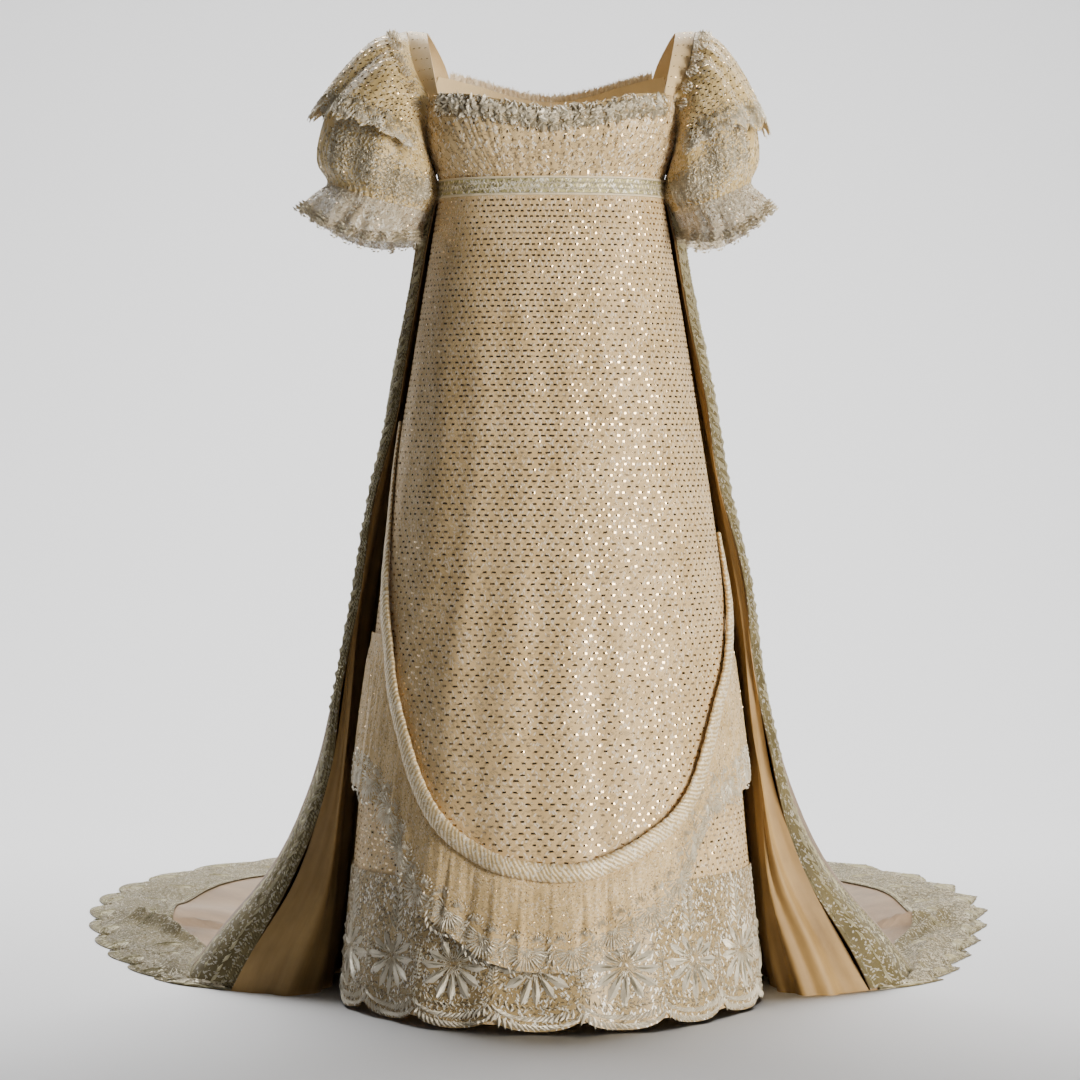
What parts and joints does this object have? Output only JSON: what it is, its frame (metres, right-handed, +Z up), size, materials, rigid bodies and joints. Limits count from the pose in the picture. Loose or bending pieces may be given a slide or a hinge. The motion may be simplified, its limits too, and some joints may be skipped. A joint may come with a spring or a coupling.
{
  "type": "regency gown",
  "caption": "High-waisted court gown of silver-spangled net over silk, with puffed sleeves, scalloped hem and a satin-lined train spread behind, in its worn form.",
  "frame": {"origin": "midway between the wearer's shoulders, under the straps, where the wearer holds the gown up; the floor is 1.300 m below", "axes": "+Z up, -Y the way the gown faces, +X the wearer's left; the train lies towards +Y"},
  "size_m": [1.4237, 1.9034, 1.3077],
  "materials": {
    "silk_and_net": "cream silk under net with metal strip dashes",
    "spangled_net": "net with metal strip dashes",
    "cream_satin": "satin",
    "striped_satin": "padded satin with slanting silver stripes",
    "net_lace": "fine frayed lace",
    "silver_embroidery": "silver thread embroidery",
    "silver_tissue": "silver tissue",
    "metal_ribbon": "woven metal ribbon"
  },
  "bodies": {
    "root": {"bodice_front": "silk_and_net", "bodice_back_left": "silk_and_net", "bodice_back_right": "silk_and_net", "strap_left": "silk_and_net", "strap_right": "silk_and_net", "neck_trim": "silver_embroidery", "neck_lace_left": "net_lace", "neck_lace_right": "net_lace", "waistband": "metal_ribbon", "skirt_front": "silk_and_net", "skirt_side_left": "silk_and_net", "skirt_side_right": "silk_and_net", "skirt_back": "silk_and_net", "hem_border_front": "silver_embroidery", "hem_border_back": "silver_embroidery", "overskirt": "spangled_net", "overskirt_roll": "striped_satin", "frill": "spangled_net", "sleeve_puff_left": "silk_and_net", "sleeve_puff_right": "silk_and_net", "sleeve_cap_left": "spangled_net", "sleeve_cap_right": "spangled_net", "sleeve_frill_left": "spangled_net", "sleeve_frill_right": "spangled_net", "train_panel": "silver_tissue", "train_lining": "cream_satin", "train_edge_left": "silver_embroidery", "train_edge_right": "silver_embroidery", "train_hem_border": "silver_embroidery"}
  },
  "joints": []
}
